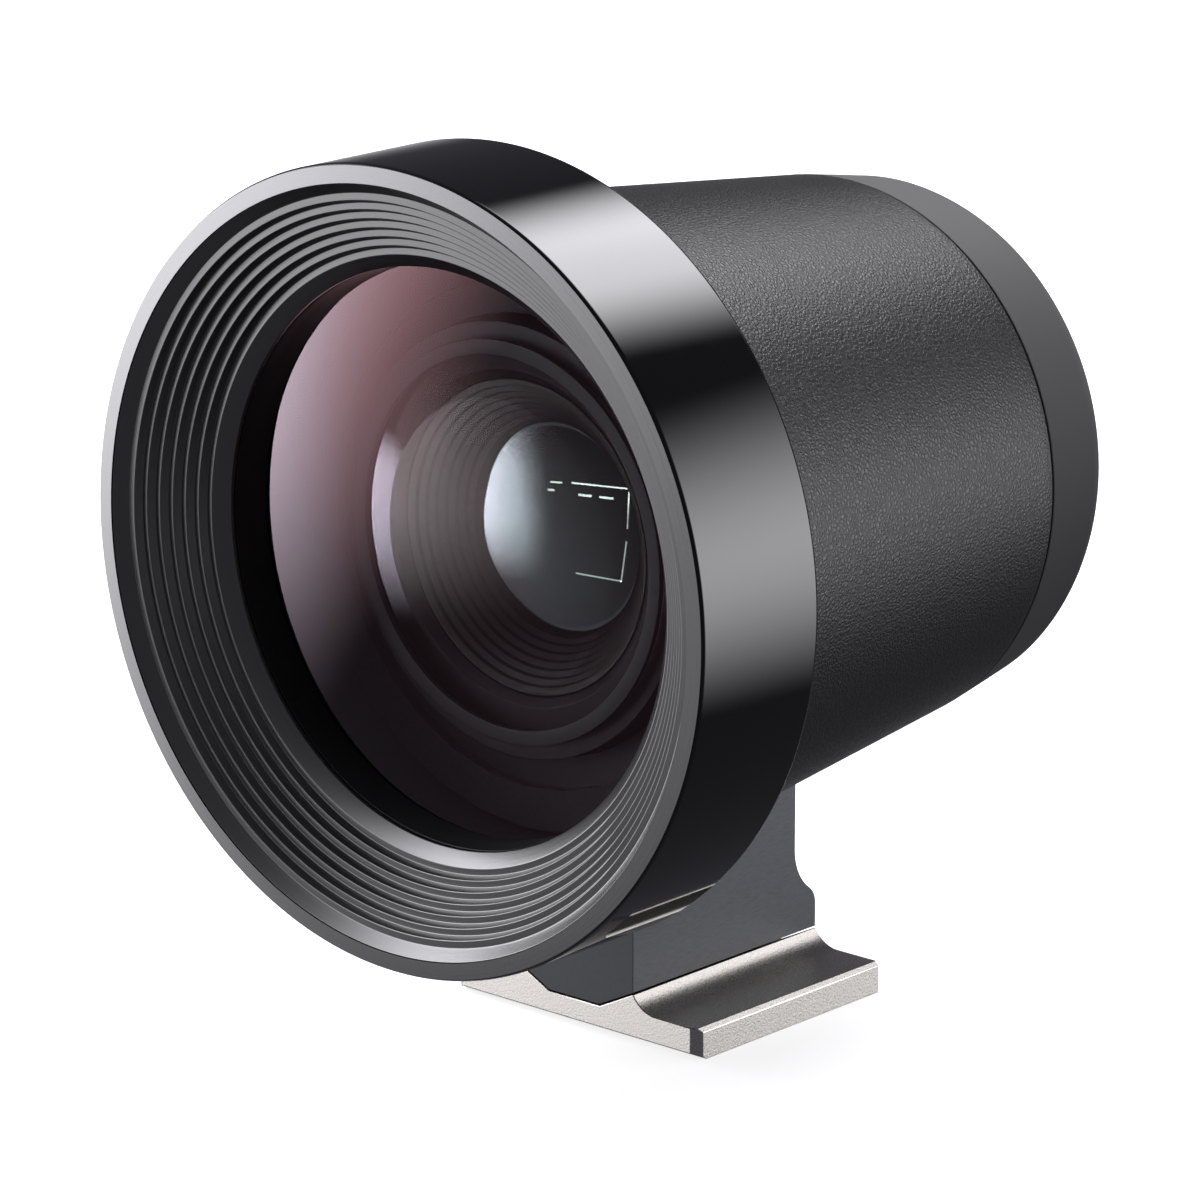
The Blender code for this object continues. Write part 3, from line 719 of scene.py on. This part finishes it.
def build_hood(satin, gloss):
    rounding = arc(HOOD_LENGTH - HOOD_REAR_ROUND, HOOD_RADIUS - HOOD_REAR_ROUND,
                   HOOD_REAR_ROUND, 90, 0, 8)
    outline = eased([
        (0.0, HOOD_BORE), (FACE_FALL, FACE_OUTER), (FACE_CHAMFER, HOOD_RADIUS),
    ], 0.035, closed=False) + rounding + [
        (HOOD_LENGTH, LIP_BORE), (LIP_FRONT, LIP_BORE), (LIP_FRONT, HOOD_BORE)]
    hood = turned("hood_shell", outline, [gloss, satin], ["hood_ring"], ease=0)
    paint_faces(hood, 1, lambda station, radius: station < FACE_FALL and radius > HOOD_BORE)


def build_baffle(satin, black):
    points = [(GAP / 2, HOOD_BORE - BAFFLE_FIT)]
    outer = FIRST_STEP_OUTER
    for index in range(STEPS):
        station = FIRST_STEP_STATION + STEP_DEPTH * index
        inner = FIRST_STEP_INNER - STEP_RISE * index
        points += [(station + TREAD_FALL, outer), (station, inner)]
        outer = inner - RISER_SLOPE
    last_station, last_radius = points[-1]
    cone_end = last_station + last_radius - BAFFLE_THROAT
    outline = points + [(cone_end, BAFFLE_THROAT), (BAFFLE_REAR, BAFFLE_THROAT),
                        (BAFFLE_REAR, HOOD_BORE - GAP)]
    turned("stepped_baffle", outline, [satin], ["baffle_ring"], ease=0.045)
    turned("front_retainer_turned", [
        (BAFFLE_REAR + GAP, BAFFLE_THROAT), (BAFFLE_REAR + GAP, HOOD_BORE - GAP),
        (RETAINER_REAR, HOOD_BORE - GAP), (RETAINER_REAR, LENS_BORE - GAP),
        (RETAINER_LIP, LENS_BORE - GAP), (RETAINER_LIP, RETAINER_BORE),
    ], [black], ["front_retainer"])


# ------------------------------------------------------------------ barrel and cap

def build_sleeve(skin):
    count = 40
    outer = [(SLEEVE_FRONT + (SLEEVE_REAR - SLEEVE_FRONT) * i / count,
              SLEEVE_FRONT_RADIUS + (SLEEVE_REAR_RADIUS - SLEEVE_FRONT_RADIUS) * i / count)
             for i in range(count + 1)]
    outline = [(SLEEVE_FRONT, SLEEVE_FRONT_RADIUS - SLEEVE_WALL), *outer,
               (SLEEVE_REAR, SLEEVE_REAR_RADIUS - SLEEVE_WALL)]
    mesh = turned_mesh("leather_sleeve", eased(outline, 0.12), FINE_STEPS)
    half = pedestal_half_width() + GAP
    low, high = WINDOW_HEIGHTS
    window = [(-half, low), (half, low), (half, high), (-half, high)]
    tool = prism_mesh("sleeve_window", window, FOOT_LENGTH)
    for corner in tool.vertices:
        end = -FOOT_LENGTH / 2 - GAP if corner.co.y < 0 else PEDESTAL_REAR + GAP
        corner.co.y = end * MM
    mesh = cut_mesh(mesh, [tool])
    piece = new_piece("leather_sleeve", mesh, [skin], ["grip_sleeve"])
    smooth(piece)


def build_cap(paint):
    depth = CAP_REAR - CAP_SHOULDER
    fall = CAP_SHOULDER_RADIUS - CAP_REAR_FLAT
    count = 36
    angles = [pi / 2 * i / count for i in range(count + 1)]
    curve = [(CAP_SHOULDER + depth * sin(a), CAP_REAR_FLAT + fall * cos(a)) for a in angles]
    taper = (CAP_SHOULDER_RADIUS - CAP_FRONT_RADIUS) / (CAP_SHOULDER - CAP_FRONT)
    begin = Vector((CAP_SHOULDER - CAP_BLEND, CAP_SHOULDER_RADIUS - taper * CAP_BLEND))
    bend = Vector((CAP_SHOULDER, CAP_SHOULDER_RADIUS))
    joined = next(i for i, point in enumerate(curve) if point[0] > CAP_SHOULDER + CAP_BLEND)
    end = Vector(curve[joined])
    blend = [begin * (1 - u) ** 2 + bend * 2 * u * (1 - u) + end * u * u
             for u in (i / BLEND_STEPS for i in range(BLEND_STEPS))]
    shoulder = [tuple(point) for point in blend] + curve[joined:]
    outline = [
        (CAP_FRONT, BARREL_BORE - GAP), (CAP_FRONT, CAP_FRONT_RADIUS), *shoulder,
        (CAP_REAR, EYE_GROOVE_RADIUS), (EYE_GROOVE_FLOOR, EYE_GROOVE_RADIUS),
        (EYE_GROOVE_FLOOR, EYE_COLLAR_RADIUS), (EYE_COLLAR_REAR, EYE_COLLAR_RADIUS),
        (EYE_COLLAR_REAR, EYE_APERTURE), (CAP_WALL[0][0], EYE_APERTURE), *CAP_WALL,
        (CAP_WALL[-1][0], BARREL_BORE - GAP),
    ]
    turned("rear_cap_shell", outline, [paint], ["rear_cap"], ease=0.12)


# ------------------------------------------------------------------------- optics

def build_front_lens(glass, bare):
    """The coating is on the front face; the rear face only passes the light on."""
    rear = lens_face(FRONT_REAR_APEX, FRONT_REAR_CURVE, FRONT_LENS_REAR_RIM)
    rim = rear[-1][0]
    outline = [*lens_face(FRONT_APEX, FRONT_CURVE, FRONT_LENS_RADIUS, FRONT_FACE_POINTS),
               (rim, FRONT_LENS_RADIUS), *rear[::-1]]
    lens = turned("front_glass", outline, [glass, bare], ["front_lens"], ease=0,
                  weighted=False)
    paint_faces(lens, 1, lambda station, radius:
                station > lens_drop(radius) + FRONT_COATING_DEPTH)


def lens_drop(radius):
    """The station of the front lens's front face at a radius."""
    return FRONT_APEX + FRONT_CURVE - sqrt(FRONT_CURVE ** 2 - radius ** 2)


def build_second_lens(glass, rim_glass, black):
    """Its rim, outside the opening behind it, mirrors more than its middle."""
    lens = turned("second_glass", [
        *lens_face(SECOND_APEX, SECOND_CURVE, SECOND_LENS_RADIUS),
        (SECOND_REAR, SECOND_LENS_RADIUS), (SECOND_REAR, 0.0),
    ], [glass, rim_glass], ["second_lens"], ease=0, weighted=False)
    paint_faces(lens, 1, lambda station, radius: radius > SECOND_LENS_OPENING)
    turned("second_retainer_turned", SECOND_RETAINER, [black],
           ["second_lens_retainer"], ease=0.05)


def build_cell(black):
    turned("inner_cell_turned", [
        *CELL_FRONT, (CELL_FRONT[-1][0], BARREL_BORE - GAP),
        (CELL_FLANGE_REAR, BARREL_BORE - GAP), (CELL_FLANGE_REAR, CELL_RADIUS),
        (CELL_REAR, CELL_RADIUS), (CELL_REAR, CELL_BORE), *CELL_CHAMFER,
    ], [black], ["inner_cell"])


def build_ridged_stop(black):
    outer = CELL_BORE - GAP
    ridges = []
    for index in range(RIDGES):
        station = STOP_FRONT + RIDGE_PITCH * index
        radius = outer - GAP - RIDGE_STEP * index
        ridges += [(station, radius), (station + RIDGE_CREST, radius - RIDGE_WIDTH)]
    turned("ridged_stop_turned", [
        (STOP_FRONT, outer), *ridges, *STOP_THROAT, (STOP_THROAT[-1][0], outer),
    ], [black], ["ridged_stop"], ease=0.04)


def build_third_lens(glass, black):
    turned("third_glass", [
        *lens_face(THIRD_APEX, THIRD_CURVE, THIRD_DOME_RADIUS, THIRD_FACE_POINTS),
        *THIRD_SHOULDER,
    ], [glass], ["third_lens"], ease=0, weighted=False)
    front, rear = THIRD_RETAINER_ENDS
    turned("third_retainer_turned", [
        (front, THIRD_RETAINER_BORE), (front, CELL_BORE - GAP), (rear, CELL_BORE - GAP),
        (rear, THIRD_RETAINER_BORE),
    ], [black], ["third_lens_retainer"], steps=SMALL_STEPS)


def line_box(shape, start, end, width):
    """A thin bar from start to end, (x, height above the axis), in front of the reticle."""
    a, b = Vector(start), Vector(end)
    along = (b - a).normalized() * width / 2
    side = Vector((-along.y, along.x))
    flat = [a - along - side, b + along - side, b + along + side, a - along + side]
    rows = [[shape.verts.new(Vector((p.x, world_y(s), AXIS_Z + p.y)) * MM) for p in flat]
            for s in (FRAME_STATION, FRAME_STATION + FRAME_DEPTH)]
    shape.faces.new(rows[0])
    shape.faces.new(rows[1][::-1])
    for k in range(4):
        n = (k + 1) % 4
        shape.faces.new((rows[0][n], rows[0][k], rows[1][k], rows[1][n]))


def build_frame_lines(glow):
    """The bright frame: a top line with marks under it, a right side in two runs, a bottom."""
    shape = bmesh.new()
    for start, end in FRAME_RUNS:
        line_box(shape, start, end, RUN_WIDTH)
    for start, end in FRAME_MARKS:
        line_box(shape, start, end, MARK_WIDTH)
    bmesh.ops.recalc_face_normals(shape, faces=shape.faces)
    mesh = bpy.data.meshes.new("bright_frame_lines")
    shape.to_mesh(mesh)
    shape.free()
    new_piece("bright_frame_lines", mesh, [glow])


def build_reticle(glass, mirror, black):
    outer = CELL_BORE - GAP
    front, rear = RETICLE_ENDS
    turned("reticle_glass", [(front, 0.0), (front, outer), (rear, outer), (rear, 0.0)],
           [glass], ["frame_reticle"], steps=SMALL_STEPS, ease=0, weighted=False)
    turned("mirror_glass_disc", [
        *lens_face(MIRROR_APEX, MIRROR_CURVE, outer), (MIRROR_REAR, outer), (MIRROR_REAR, 0.0),
    ], [mirror], ["semi_mirror_lens"], steps=SMALL_STEPS, ease=0, weighted=False)
    front, rear = SPACER_ENDS
    turned("spacer_tube_turned", [
        (front, SPACER_BORE), (front, outer), (rear, outer), (rear, SPACER_BORE),
    ], [black], ["spacer_tube"], steps=SMALL_STEPS)


def build_eyepiece(glass, soft, black):
    dome = lens_face(EYEPIECE_REAR_APEX, EYEPIECE_REAR_CURVE, EYEPIECE_REAR_RADIUS)
    turned("eyepiece_glass", [
        *lens_face(EYEPIECE_APEX, EYEPIECE_CURVE, EYEPIECE_RADIUS),
        (EYEPIECE_REAR_EDGE, EYEPIECE_RADIUS), *dome[::-1],
    ], [glass], ["eyepiece_lens"], steps=SMALL_STEPS, ease=0, weighted=False)
    inner, outer = EYE_RING_RADII
    turned("eye_ring_moulded", [
        *EYE_RING_FRONT, *arc(EYE_RING_REAR, outer, EYE_RING_ROUND, 90, 0, 8),
        *arc(EYE_RING_REAR, inner, EYE_RING_ROUND, 0, -90, 8),
    ], [soft], ["eye_ring"], ease=0.05)
    turned("eyepiece_retainer_turned", EYEPIECE_RETAINER, [black],
           ["eyepiece_retainer"], steps=SMALL_STEPS)


# ------------------------------------------------------------- pedestal and foot

def pedestal_half_width():
    return FILLET_FOOT_X - FILLET_RADIUS * sin(radians(FILLET_ANGLE))


def foot_peak_height():
    return FOOT_THICKNESS + FILLET_RADIUS * (1 - cos(radians(FILLET_ANGLE)))


def foot_outline(count=20):
    """Front view of the foot, from the bottom left corner round to the left side."""
    half = FOOT_WIDTH / 2
    right = [(half, 0.0), (half, FOOT_THICKNESS - FOOT_EDGE_BEVEL),
             (half - FOOT_EDGE_BEVEL, FOOT_THICKNESS)]
    for index in range(count + 1):
        angle = radians(FILLET_ANGLE * index / count)
        right.append((FILLET_FOOT_X - FILLET_RADIUS * sin(angle),
                      FOOT_THICKNESS + FILLET_RADIUS * (1 - cos(angle))))
    right.append((GROOVE_HALF_FLAT, GROOVE_FLOOR))
    return right + [(-x, z) for x, z in reversed(right)]


def slice_off(shape, point, outward):
    """Cuts away what lies outward of a plane and closes the cut."""
    every = shape.verts[:] + shape.edges[:] + shape.faces[:]
    done = bmesh.ops.bisect_plane(shape, geom=every, plane_co=Vector(point) * MM,
                                  plane_no=Vector(outward), clear_outer=True, dist=1e-8)
    rim = [e for e in done["geom_cut"] if isinstance(e, bmesh.types.BMEdge)]
    bmesh.ops.contextual_create(shape, geom=rim)


def build_foot(nickel):
    mesh = prism_mesh("shoe_foot_machined", foot_outline(), FOOT_LENGTH)
    half, front = FOOT_WIDTH / 2, -FOOT_LENGTH / 2
    shape = bmesh.new()
    shape.from_mesh(mesh)
    for side in (-1, 1):
        slice_off(shape, (side * half, front + FOOT_CORNER_CHAMFER, 0), (side, -1, 0))
    slice_off(shape, (0, front, FOOT_RAMP_HEIGHT), (0, -FOOT_RAMP_HEIGHT, -FOOT_RAMP_LENGTH))
    bmesh.ops.recalc_face_normals(shape, faces=shape.faces)
    shape.to_mesh(mesh)
    shape.free()
    holes = [countersink_mesh(x, y) for x in (-FOOT_SCREW_X, FOOT_SCREW_X)
             for y in (-FOOT_SCREW_Y, FOOT_SCREW_Y)]
    mesh = cut_mesh(mesh, holes)
    foot = new_piece("shoe_foot_machined", mesh, [nickel], ["shoe_foot"])
    soften_edges(foot, 0.05)
    smooth(foot)


def countersink_mesh(x, y):
    """The hole for a foot screw, from under the foot."""
    shape = bmesh.new()
    angles = [2 * pi * k / COUNTERSINK_STEPS for k in range(COUNTERSINK_STEPS)]
    rings = []
    for height, radius in COUNTERSINK:
        corners = [(x + radius * cos(a), y + radius * sin(a), height) for a in angles]
        rings.append([shape.verts.new(Vector(corner) * MM) for corner in corners])
    shape.faces.new(rings[0][::-1])
    shape.faces.new(rings[-1])
    for low, high in zip(rings, rings[1:]):
        for k in range(COUNTERSINK_STEPS):
            n = (k + 1) % COUNTERSINK_STEPS
            shape.faces.new((low[k], low[n], high[n], high[k]))
    mesh = bpy.data.meshes.new("countersink")
    shape.to_mesh(mesh)
    shape.free()
    return mesh


def rear_clearance_outline(count=24):
    """What is cut away behind the pedestal: an upright, a cove and a rounded nose."""
    rear = FOOT_LENGTH / 2
    turn = radians(COVE_ANGLE)
    cove = []
    for index in range(count + 1):
        angle = turn * index / count
        cove.append((PEDESTAL_REAR + COVE_RADIUS * (1 - cos(angle)),
                     COVE_TOP - COVE_RADIUS * sin(angle)))
    nose_y, nose_z = cove[-1]
    nose = []
    for index in range(1, 13):
        angle = turn * (1 - index / 12)
        nose.append((nose_y + NOSE_RADIUS * (cos(angle) - cos(turn)),
                     nose_z - NOSE_RADIUS * (sin(turn) - sin(angle))))
    return [(PEDESTAL_REAR, CLEAR_TOP), *cove, *nose, (nose[-1][0], CLEAR_BOTTOM),
            (rear + CLEAR_BEHIND, CLEAR_BOTTOM), (rear + CLEAR_BEHIND, CLEAR_TOP)]


def build_pedestal(finish):
    half = pedestal_half_width()
    right = [(GROOVE_HALF_FLAT - GAP / 2, GROOVE_FLOOR + GAP), (half, foot_peak_height() + GAP),
             (half, PEDESTAL_TOP)]
    outline = right + [(-x, z) for x, z in reversed(right)]
    mesh = prism_mesh("pedestal_leg", outline, FOOT_LENGTH)
    behind = prism_mesh("pedestal_rear_tool", rear_clearance_outline(), CLEAR_WIDTH, along_x=True)
    slope = (SLEEVE_FRONT_RADIUS - SLEEVE_REAR_RADIUS) / (SLEEVE_REAR - SLEEVE_FRONT)
    front, rear = SADDLE_ENDS
    radii = [SLEEVE_FRONT_RADIUS - SLEEVE_WALL - slope * (s - SLEEVE_FRONT) for s in (front, rear)]
    saddle = turned_mesh("saddle_tool", [(front, 0.0), (front, radii[0]), (rear, radii[1]),
                                         (rear, 0.0)], FINE_STEPS)
    mesh = cut_mesh(mesh, [behind, saddle])
    leg = new_piece("pedestal_leg", mesh, [finish], ["pedestal"])
    soften_edges(leg, 0.07)
    smooth(leg)


# --------------------------------------------------------------------- the stage

def soft_window(m, position, soft_low, soft_high):
    """1 inside a softbox and 0 at its edges, along one side; position runs from 0 to 1."""
    rise = m.ramp(position, 0.0, soft_low, smooth=True)
    fall = m.ramp(position, 1.0 - soft_high, 1.0, 1.0, 0.0, smooth=True)
    return m.math("MULTIPLY", rise, fall)


def softbox(name, direction, distance, width, height, radiance, soft, roll):
    """A rectangular light that faces the object, with edges that fade as a softbox's do.

    radiance is what its middle shows in a mirror; soft is the share of its width and height
    over which it fades, in the order left, right, bottom, top as the light sees the object.
    """
    data = bpy.data.lights.new(name, "AREA")
    data.shape = "RECTANGLE"
    data.size = width
    data.size_y = height
    data.energy = radiance * pi * width * height
    data.color = LIGHT_COLOUR
    data.use_nodes = True
    m = Nodes(data.node_tree)
    spot = m.node("SeparateXYZ", {0: m.node("NewGeometry").outputs["Parametric"]}).outputs
    across = soft_window(m, spot[0], soft[0], soft[1])
    upward = soft_window(m, spot[1], soft[2], soft[3])
    m.set(data.node_tree.nodes["Emission"].inputs["Strength"], m.math("MULTIPLY", across, upward))
    lamp = bpy.data.objects.new(name, data)
    bpy.context.scene.collection.objects.link(lamp)
    towards = Vector(direction).normalized()
    lamp.location = CENTRE + towards * distance
    turn = towards.to_track_quat("Z", "Y") @ Quaternion((0, 0, 1), radians(roll))
    lamp.rotation_euler = turn.to_euler()
    lamp.visible_camera = False
    return lamp


def build_world():
    world = bpy.data.worlds.new("studio")
    bpy.context.scene.world = world
    world.use_nodes = True
    tree = world.node_tree
    back = tree.nodes["Background"]
    rays = tree.nodes.new("ShaderNodeLightPath")
    mix = tree.nodes.new("ShaderNodeMix")
    mix.data_type = "RGBA"
    mix.inputs[6].default_value = AMBIENT
    mix.inputs[7].default_value = BACKDROP
    tree.links.new(rays.outputs["Is Camera Ray"], mix.inputs[0])
    tree.links.new(mix.outputs[2], back.inputs[0])


def build_floor():
    shape = bmesh.new()
    bmesh.ops.create_grid(shape, x_segments=8, y_segments=8, size=FLOOR_SIZE)
    mesh = bpy.data.meshes.new("floor")
    shape.to_mesh(mesh)
    shape.free()
    floor = bpy.data.objects.new("floor", mesh)
    bpy.context.scene.collection.objects.link(floor)
    m = Material("pale_floor")
    mottle = m.noise(m.place(), 3.0, 2.0)
    tint = m.mix_colour(mottle, (0.86, 0.86, 0.86), (0.88, 0.88, 0.88))
    mesh.materials.append(m.principled({
        "Base Color": tint, "Roughness": 0.9, "Emission Color": tint,
        "Emission Strength": 0.85, "Specular IOR Level": 0.0}))
    floor.visible_glossy = False
    floor.visible_diffuse = False
    floor.visible_shadow = False
    floor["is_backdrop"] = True
    return floor


def build_camera():
    azimuth, elevation = radians(CAMERA_AZIMUTH), radians(CAMERA_ELEVATION)
    data = bpy.data.cameras.new("camera")
    data.sensor_width = 36.0
    data.lens = CAMERA_LENS
    data.clip_start = 0.01
    data.clip_end = 50.0
    camera = bpy.data.objects.new("camera", data)
    bpy.context.scene.collection.objects.link(camera)
    rim_centre = Vector((0.0, world_y(0.0), AXIS_Z))
    camera.location = (rim_centre + CAMERA_FROM_RIM) * MM
    camera.rotation_euler = (pi / 2 - elevation, 0.0, azimuth)
    bpy.context.scene.camera = camera


def linked_group(name, members):
    """A collection that light linking reads; it isn't part of the scene's own tree."""
    group = bpy.data.collections.new(name)
    for member in members:
        group.objects.link(member)
    return group


def build_lights(floor):
    """Every softbox, and which pieces most of them reach."""
    lamps = {name: softbox(name, *setting) for name, setting in SOFTBOXES.items()}
    shown = {piece.name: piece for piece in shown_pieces()}
    foot, cap, leg = (shown[name] for name in ("shoe_foot_machined", "rear_cap_shell",
                                               "pedestal_leg"))
    inner = [shown["second_glass"], shown["third_glass"]]
    glass = [piece for name, piece in shown.items() if "_glass" in name]
    reach = {
        "rear_top_box": [floor] + [piece for piece in shown.values() if piece != foot],
        "right_rear_strip": [floor] + [p for p in shown.values() if p not in (foot, cap)],
        "dim_rear_strip": [cap, foot],
        "left_panel": [floor] + [piece for piece in shown.values() if piece not in glass],
        "front_fill": [shown["hood_shell"]],
        "lens_panel": [p for p in glass if p not in inner] + [shown["ridged_stop_turned"]],
        "inner_panel": inner,
        "foot_card": [foot, leg],
        "fillet_card": [foot],
        "cap_box": [cap],
    }
    for name, members in reach.items():
        group = linked_group("lit_by_" + name, members)
        lamps[name].light_linking.receiver_collection = group


# ------------------------------------------------------------------------- build

def dress_cad_nodes(black, metal, soft):
    """Materials for the frame's own nodes that stay visible."""
    finishes = {"steel": metal, "matte_black": black, "rubber": soft}
    slots = {part["node"]: part["material_slot"] for part in frame["record"]["subparts"]}
    for name, node in frame["nodes"].items():
        if node.hide_render:
            continue
        finish = finishes.get(slots.get(name), black)
        node.data.materials.clear()
        node.data.materials.append(finish)


def build():
    satin = satin_metal("satin_turned_grey", 0.36, 0.3, 0.3)
    black = matte_black()
    soft = rubber()
    build_hood(satin, gloss_black())
    # Painted shade: the baffle gets the face ring's satin metal made darker (tone 0.26 against
    # 0.36) for the shade in the hood's recess
    build_baffle(satin_metal("satin_turned_baffle_painted_shade", 0.26, 0.32, 0.4), black)
    build_sleeve(leather())
    build_cap(cap_paint())
    bare = coated_glass("bare_glass", (0.97, 0.97, 0.98), (1.0,) * 3, (1.0,) * 3, 0.0, 0.0)
    build_front_lens(coated_glass("front_coating", (0.95, 0.95, 0.98), (1.0, 0.56, 0.60),
                                  (0.97, 0.78, 0.88), 0.09, 0.22, bow=FRONT_BOW), bare)
    build_second_lens(
        coated_glass("second_coating", (0.92, 0.92, 0.93), (0.9, 0.8, 0.72), (0.8, 0.76, 0.7),
                     0.01, 0.1, bow=FRONT_BOW),
        # Painted reflection spot: the rim mirrors the lamps only on its left part
        coated_glass("second_rim_coating_painted_spot", (0.8, 0.78, 0.78), (1.0, 0.88, 0.96),
                     (0.95, 0.88, 0.95), 0.04, 0.13, bow=FRONT_BOW, fade=(-9.5, -1.0, 3.8, 6.2)),
        black)
    build_cell(black)
    build_ridged_stop(stop_black())
    # Painted reflection spot: the third lens mirrors the lamps only round a point left of its
    # middle
    build_third_lens(coated_glass("third_coating_painted_spot", (0.42, 0.48, 0.45), (0.84, 1.0, 0.93),
                                  (0.92, 1.0, 0.96), 0.15, 0.0, bow=THIRD_BOW,
                                  fade=(-3.5, 0.3, 3.4, 5.8), veil=0.1), black)
    build_frame_lines(glowing_line())
    build_reticle(coated_glass("reticle_coating", (0.8, 0.86, 0.83), (0.8, 1.0, 0.9),
                               (0.8, 1.0, 0.9), 0.02, 0.3),
                  coated_glass("mirror_coating", (0.4, 0.42, 0.42), (0.8, 0.95, 0.9),
                               (0.8, 0.95, 0.9), 0.3, 0.3), black)
    build_eyepiece(coated_glass("eyepiece_coating", (0.85, 0.88, 0.87), (0.62, 0.9, 0.72),
                                (0.6, 0.8, 0.9), 0.03, 0.5), soft, black)
    build_foot(grained_nickel())
    build_pedestal(brushed_dark())
    dress_cad_nodes(black, steel(), soft)


build()
build_world()
build_lights(build_floor())
build_camera()
bpy.context.scene.view_settings.view_transform = "Standard"
